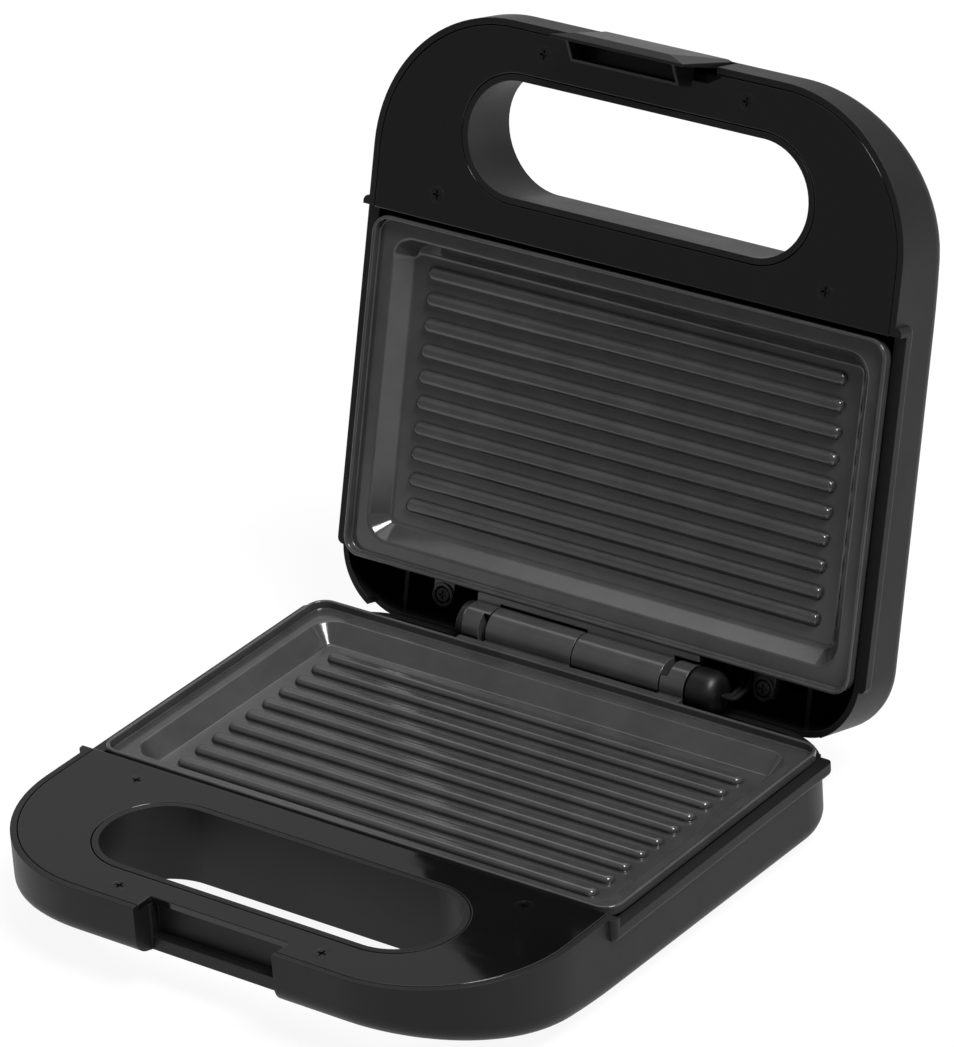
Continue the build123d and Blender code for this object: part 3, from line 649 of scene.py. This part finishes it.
@dataclass(frozen=True)
class Rubber(Finish):
    """Matt rubber with a dusty bloom and fine pores."""

    body: Colour = (0.014, 0.014, 0.014)
    bloom: Colour = (0.040, 0.039, 0.038)
    rough: float = 0.66
    shine: float = 0.35
    dust: Cloud = Cloud(150.0, 4.0, 0.65)
    dust_span: Span = (0.45, 0.75)
    dust_share: float = 0.5
    dust_dull: float = 0.12
    pore_scale: float = 2200.0
    pore_depth: float = 0.02 * MM
    pore_relief: float = 0.5
    edge_radius: float = 0.30 * MM
    edge_highlight_share: float = 0.2
    edge_polish: float = 0.08

    def paint(self, graph: Graph) -> Sock:
        """Bloom follows cloudy noise, with a painted highlight on edges; pores follow small cells.

        Args:
            graph: The empty graph of the finish's material.

        Returns:
            The shader.
        """
        rounded, edge = graph.soft_edge(self.edge_radius)
        dust = graph.noise(self.dust).between(*self.dust_span)
        pores = graph.cells(self.pore_scale)
        # Bloom from dust noise, plus a painted highlight on the edges.
        colour = graph.mix(dust * self.dust_share + self.edge_highlight_share * edge, self.body, self.bloom)
        rough = self.rough + self.dust_dull * dust - self.edge_polish * edge
        normal = graph.bump(pores, self.pore_depth, rounded, self.pore_relief)
        return graph.surface(base_color=colour, roughness=rough, normal=normal, specular_ior_level=self.shine)


@dataclass(frozen=True)
class PaleNylon(Finish):
    """Cream moulded nylon with flow marks."""

    body: Colour = (0.62, 0.60, 0.53)
    mark: Colour = (0.52, 0.49, 0.42)
    rough: float = 0.42
    flow: Cloud = Cloud(220.0, 3.0)
    flow_stretch: Triple = (0.3, 1.0, 1.0)
    flow_span: Span = (0.35, 0.7)
    flow_dull: float = 0.1
    grain: Cloud = Cloud(1600.0, 1.0)
    grain_depth: float = 0.012 * MM
    grain_relief: float = 0.5
    edge_radius: float = 0.25 * MM
    edge_polish: float = 0.05

    def paint(self, graph: Graph) -> Sock:
        """Flow marks come from noise stretched along the moulding.

        Args:
            graph: The empty graph of the finish's material.

        Returns:
            The shader.
        """
        rounded, edge = graph.soft_edge(self.edge_radius)
        flow = graph.noise(self.flow, graph.place(self.flow_stretch))
        colour = graph.mix(flow.between(*self.flow_span), self.body, self.mark)
        normal = graph.bump(graph.noise(self.grain), self.grain_depth, rounded, self.grain_relief)
        rough = self.rough + self.flow_dull * flow - self.edge_polish * edge
        return graph.surface(base_color=colour, roughness=rough, normal=normal)


@dataclass(frozen=True)
class BraidedLead(Finish):
    """Silicone lead under a varnished glass braid."""

    yarn: Colour = (0.006, 0.006, 0.006)
    gap: Colour = (0.002, 0.002, 0.002)
    rough: float = 0.80
    shine: float = 0.2
    strand_scale: float = 420.0
    strand_turn: Triple = (0.6, 0.6, 0.8)
    braid_span: Span = (0.05, 0.5)
    braid_depth: float = 0.06 * MM
    braid_polish: float = 0.15

    def paint(self, graph: Graph) -> Sock:
        """Two slanted sets of fine waves cross as a braid.

        Args:
            graph: The empty graph of the finish's material.

        Returns:
            The shader.
        """
        back_turn = tuple(-angle for angle in self.strand_turn)
        braid = graph.wave(self.strand_scale, self.strand_turn) * graph.wave(self.strand_scale, back_turn)
        colour = graph.mix(braid.between(*self.braid_span), self.gap, self.yarn)
        normal = graph.bump(braid, self.braid_depth)
        rough = self.rough - self.braid_polish * braid
        return graph.surface(base_color=colour, roughness=rough, normal=normal, specular_ior_level=self.shine)


@dataclass(frozen=True)
class TintedLens(Finish):
    """Coloured lamp lens, red on the left and green on the right, with ribs behind its face."""

    left: Colour = (0.28, 0.010, 0.008)
    right: Colour = (0.012, 0.16, 0.022)
    groove: Colour = (0.02, 0.02, 0.02)
    rough: float = 0.10
    gloss: float = 0.6
    rib_scale: float = 330.0
    rib_share: float = 0.45
    rib_dull: float = 0.08
    rib_depth: float = 0.05 * MM

    def paint(self, graph: Graph) -> Sock:
        """The side chooses the tint; fine waves stand for the prism ribs.

        Args:
            graph: The empty graph of the finish's material.

        Returns:
            The shader.
        """
        side = graph.axis(graph.place(), "X") > 0.0
        ribs = graph.wave(self.rib_scale)
        tint = graph.mix(side, self.left, self.right)
        colour = graph.mix(ribs * self.rib_share, tint, self.groove)
        normal = graph.bump(ribs, self.rib_depth)
        rough = self.rough + self.rib_dull * ribs
        return graph.surface(base_color=colour, roughness=rough, normal=normal, coat_weight=self.gloss)


SHELL = MouldedPlastic("satin_black_shell", Slot.SHELL)
LATCH = MouldedPlastic("satin_black_latch", Slot.LATCH, rough=0.38, grain_depth=0.012 * MM)
PANEL = PolishedPanel("polished_black_panel", Slot.COVER)
BLACK_SCREW = PolishedPanel(
    "blackened_screw", Slot.SCREW_BLACK, rough=0.07, shine=0.40, edge_radius=0.05 * MM
)
COAT = NonStickCoat("dark_nonstick_coat", Slot.PLATE)
ZINC_SCREW = Metal("dull_zinc_screw", Slot.SCREW, (0.055, 0.055, 0.057), (0.025, 0.025, 0.025), 0.45)
SHEET = Metal(
    "bright_rolled_sheet", Slot.SHIELD, (0.62, 0.62, 0.63), (0.40, 0.40, 0.40), 0.28,
    stretch=(0.03, 1.0, 1.0),
)
CUP = Metal("pressed_thermostat", Slot.THERMOSTAT, (0.40, 0.39, 0.36), (0.20, 0.18, 0.14), 0.38)
CAN = Metal("drawn_fuse_can", Slot.FUSE, (0.50, 0.50, 0.50), (0.30, 0.29, 0.27), 0.32)
# Painted shade: the pin's steel is given a colour far darker than bare steel, standing for the shade between
# the knuckles.
PIN = Metal(
    "ground_steel_pin", Slot.PIN, (0.16, 0.16, 0.165), (0.09, 0.09, 0.09), 0.30,
    stretch=(1.0, 0.05, 0.05), drawn=Cloud(2400.0),
)
TUBE = HeatedTube("heat_tinted_tube", Slot.ELEMENT)
NYLON = PaleNylon("cream_nylon", Slot.BLOCK)
LEAD = BraidedLead("braided_lead", Slot.LEAD)
FOOT = Rubber("soft_rubber_foot", Slot.FOOT)
BUSHING = Rubber("firm_rubber_bushing", Slot.BUSHING, rough=0.55)
COLLAR = Rubber("firm_rubber_collar", Slot.COLLAR, (0.008, 0.008, 0.008), (0.016, 0.016, 0.016), 0.42)
SLEEVE = Rubber("silicone_sleeve", Slot.SLEEVE, (0.004, 0.004, 0.004), (0.009, 0.009, 0.009), 0.42)
LENS = TintedLens("tinted_lens", Slot.LENS)


@dataclass
class Assembly(ABC):
    """A sub-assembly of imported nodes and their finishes."""

    finishes: dict[str, Finish] = field(default_factory=dict)

    def build(self) -> list[bpy.types.Object]:
        """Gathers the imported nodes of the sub-assembly.

        Returns:
            The objects, in the order of the finishes.
        """
        return [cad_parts[node] for node in self.finishes]

    def dress(self) -> None:
        """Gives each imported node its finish."""
        for piece, finish in zip(self.build(), self.finishes.values()):
            piece.data.materials.clear()
            piece.data.materials.append(finish.material())
            LOG.info("%s: %s in slot %s", piece.name, finish.name, finish.slot.value)


@dataclass
class Housings(Assembly):
    """Both shells with their polished panels and the panels' screws."""

    def __post_init__(self) -> None:
        """Lists the nodes of both halves."""
        for half in HALVES:
            self.finishes[f"{half}_housing"] = SHELL
            self.finishes[f"{half}_cover"] = PANEL
            self.finishes[f"{half}_cover_screws"] = BLACK_SCREW


@dataclass
class GrillPlates(Assembly):
    """Both ribbed plates with the screws through their lugs."""

    def __post_init__(self) -> None:
        """Lists the nodes of both halves."""
        for half in HALVES:
            self.finishes[f"{half}_plate"] = COAT
            self.finishes[f"{half}_plate_screws"] = ZINC_SCREW


@dataclass
class HeatingGear(Assembly):
    """Elements, shields, controls and wiring inside the shells."""

    def __post_init__(self) -> None:
        """Lists the nodes of both halves."""
        for half in HALVES:
            self.finishes[f"{half}_element"] = TUBE
            self.finishes[f"{half}_shield"] = SHEET
            self.finishes[f"{half}_leads"] = LEAD
        self.finishes |= {"thermostat": CUP, "thermal_fuse": CAN, "terminal_block": NYLON}


@dataclass
class HingeLine(Assembly):
    """Pin, collar and lead sleeve along the hinge."""

    def __post_init__(self) -> None:
        """Lists the nodes along the hinge."""
        self.finishes |= {"hinge_pin": PIN, "pin_collar": COLLAR, "lead_sleeve": SLEEVE}


@dataclass
class Fittings(Assembly):
    """Latch, lamps, feet and the inlet for a lead."""

    def __post_init__(self) -> None:
        """Lists the small fittings."""
        self.finishes |= {"latch": LATCH, "latch_pin": PIN, "lamp_lenses": LENS}
        self.finishes |= {"feet": FOOT, "inlet_bushing": BUSHING}


@dataclass(frozen=True)
class Lamp:
    """A soft distant lamp."""

    name: str
    toward: Triple
    strength: float
    spread_deg: float
    distance: float = 3.0

    def hang(self) -> None:
        """Adds the lamp so that it shines from the direction it is named for."""
        data = bpy.data.lights.new(self.name, "SUN")
        data.energy = self.strength
        data.angle = math.radians(self.spread_deg)
        lamp = bpy.data.objects.new(self.name, data)
        lamp.rotation_mode = "QUATERNION"
        lamp.rotation_quaternion = Vector(self.toward).to_track_quat("Z", "Y")
        lamp.location = Vector(self.toward) * self.distance
        bpy.context.scene.collection.objects.link(lamp)


@dataclass(frozen=True)
class Studio:
    """Floor, room, lamps and camera."""

    floor_size: float = 2.8
    floor_grid: int = 9
    floor_colour: Colour = (0.80, 0.80, 0.80)
    floor_mottle: Cloud = Cloud(3.0)
    floor_fade: float = 0.98
    floor_shade: Colour = (0.09, 0.09, 0.09)
    floor_lift: float = 0.92
    room_dim: Colour = (0.05, 0.05, 0.05)
    room_front: Colour = (0.27, 0.27, 0.27)
    room_back: Colour = (0.72, 0.72, 0.72)
    room_high: Colour = (0.30, 0.30, 0.30)
    room_white: Colour = (1.0, 1.0, 1.0)
    depth_span: Span = (-0.5, 0.5)
    height_span: Span = (0.0, 1.0)
    lamps: tuple[Lamp, ...] = (
        Lamp("key", (0.53, -0.14, 0.84), 3.3, 22.0),
        Lamp("overhead", (-0.10, 0.35, 0.95), 1.1, 60.0),
        Lamp("fill", (-0.45, -0.70, 0.55), 0.08, 50.0),
    )
    eye: Triple = (1.198573, -1.511641, 1.122983)
    azimuth_deg: float = 38.118983
    elevation_deg: float = 27.444715
    roll_deg: float = -4.004214
    focal_px: float = 6363.828
    picture: tuple[int, int] = (954, 1047)
    sensor_mm: float = 36.0
    sight: float = 100.0

    def floor(self) -> bpy.types.Object:
        """A level sheet at the height of the feet, P(u, v) = (u, v, 0) for u and v within half its size.

        Returns:
            The floor object.
        """
        line = np.linspace(-self.floor_size / 2, self.floor_size / 2, self.floor_grid)
        x, y = np.meshgrid(line, line, indexing="ij")
        sheet = surface_mesh("studio_floor", np.stack([x, y, np.zeros_like(x)], -1))
        material = bpy.data.materials.new("studio_floor")
        material.use_nodes = True
        graph = Graph(material.node_tree)
        faded = tuple(self.floor_fade * part for part in self.floor_colour)
        colour = graph.mix(graph.noise(self.floor_mottle), self.floor_colour, faded)
        plain = graph.node("ShaderNodeBsdfDiffuse", {}, {"Color": colour})
        shaded = graph.node("ShaderNodeBsdfDiffuse", {}, {"Color": self.floor_shade})
        glow = graph.node("ShaderNodeEmission", {}, {"Strength": self.floor_lift})
        lifted = graph.node("ShaderNodeAddShader", {}, {0: shaded, 1: glow})
        graph.show(graph.blend(graph.seen_by(*Ray), plain, lifted))
        sheet.data.materials.append(material)
        return sheet

    def room(self) -> None:
        """A dim room whose gloss is paler at the back, and white behind the object."""
        world = bpy.data.worlds.new("studio_room")
        bpy.context.scene.world = world
        world.use_nodes = True
        graph = Graph(world.node_tree)
        direction = graph.node("ShaderNodeTexCoord", {}, {}, "Generated")
        depth = graph.axis(direction, "Y").between(*self.depth_span)
        height = graph.axis(direction, "Z").between(*self.height_span)
        level = graph.mix(depth, self.room_front, self.room_back)
        walls = graph.mix(height, level, self.room_high)
        shades = (self.room_dim, walls, self.room_white)
        dim, pale, white = (graph.node("ShaderNodeBackground", {}, {"Color": shade}) for shade in shades)
        room = graph.blend(graph.seen_by(Ray.GLOSSY), dim, pale)
        seen = graph.seen_by(Ray.CAMERA, Ray.TRANSMISSION)
        graph.show(graph.blend(seen, room, white), "ShaderNodeOutputWorld")

    def camera(self) -> None:
        """The camera at the photograph's angle, aimed by azimuth, elevation and roll."""
        across, rise, roll = (math.radians(a) for a in (self.azimuth_deg, self.elevation_deg, self.roll_deg))
        back = Vector((math.sin(across) * math.cos(rise), -math.cos(across) * math.cos(rise), math.sin(rise)))
        right = Vector((math.cos(across), math.sin(across), 0.0))
        up = back.cross(right)
        right, up = math.cos(roll) * right + math.sin(roll) * up, math.cos(roll) * up - math.sin(roll) * right
        data = bpy.data.cameras.new("camera")
        data.sensor_width = self.sensor_mm
        data.lens = self.focal_px * self.sensor_mm / max(self.picture)
        data.clip_end = self.sight
        camera = bpy.data.objects.new("camera", data)
        camera.matrix_world = Matrix.Translation(self.eye) @ Matrix((right, up, back)).transposed().to_4x4()
        bpy.context.scene.collection.objects.link(camera)
        bpy.context.scene.camera = camera

    def build(self) -> None:
        """Sets up the whole stage."""
        self.floor()
        self.room()
        for lamp in self.lamps:
            lamp.hang()
        self.camera()
        bpy.context.scene.view_settings.view_transform = "Standard"


def surface_mesh(name: str, points: np.ndarray) -> bpy.types.Object:
    """Makes an object from points on a grid of two parameters.

    Args:
        name: The object's name.
        points: Array of shape (rows, columns, 3), in metres.

    Returns:
        The object, with one quad for each cell of the grid.
    """
    rows, columns = points.shape[:2]
    index = np.arange(rows * columns).reshape(rows, columns)
    quads = np.stack([index[:-1, :-1], index[1:, :-1], index[1:, 1:], index[:-1, 1:]], -1).reshape(-1, 4)
    mesh = bpy.data.meshes.new(name)
    mesh.from_pydata(points.reshape(-1, 3), [], quads)
    mesh.update()
    made = bpy.data.objects.new(name, mesh)
    bpy.context.scene.collection.objects.link(made)
    return made


def main() -> None:
    """Builds and dresses each sub-assembly, then the studio, and logs how many pieces each sub-assembly has.
    """
    logging.basicConfig(level=logging.INFO, format="%(message)s")
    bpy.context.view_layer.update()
    for assembly in (Housings(), GrillPlates(), HeatingGear(), HingeLine(), Fittings()):
        LOG.info("%s: %d pieces", type(assembly).__name__, len(assembly.build()))
        assembly.dress()
    Studio().build()


if __name__ == "__main__":
    main()
